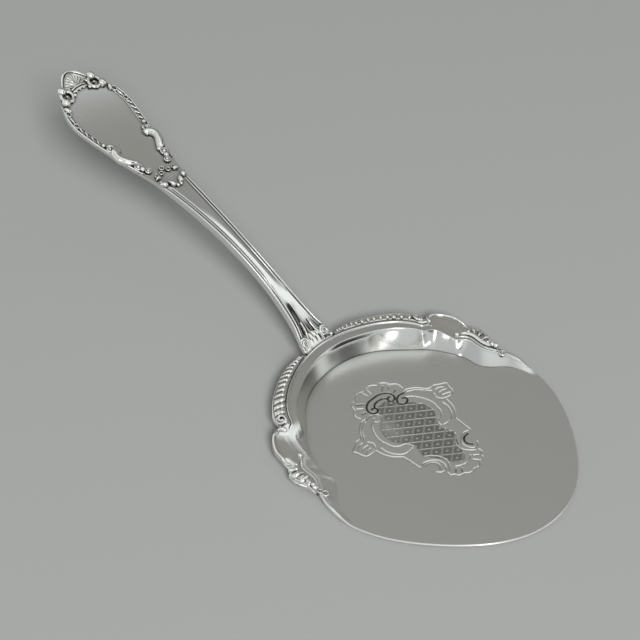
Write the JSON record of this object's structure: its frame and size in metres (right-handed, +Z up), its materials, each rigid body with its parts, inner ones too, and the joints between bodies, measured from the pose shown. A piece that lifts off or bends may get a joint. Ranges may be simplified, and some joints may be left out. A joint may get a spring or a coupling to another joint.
{
  "type": "tomato server",
  "caption": "Flat round-bladed silver serving utensil with a raised scrolled back rim, an engraved lattice cartouche and a rising handle with a framed pear-shaped end.",
  "frame": {"origin": "middle of the blade, on its flat underside", "axes": "+X from the handle towards the front of the blade, +Y to the blade's left-hand side seen from the handle, +Z up from the underside"},
  "size_m": [0.1905, 0.08, 0.0521],
  "materials": {
    "polished_silver": "polished silver with faint use scratches",
    "toned_silver": "cast silver, bright on the high points and darker in the recesses"
  },
  "bodies": {
    "root": {"blade": "polished_silver", "handle": "polished_silver", "rim_border_right": "toned_silver", "rim_border_left": "toned_silver", "heel_leaf": "toned_silver", "heel_volute_right": "toned_silver", "heel_volute_left": "toned_silver", "frame_right": "toned_silver", "frame_left": "toned_silver", "tip_rosette_right": "toned_silver", "tip_rosette_left": "toned_silver", "tip_shell": "toned_silver", "base_palmette": "toned_silver"}
  },
  "joints": []
}
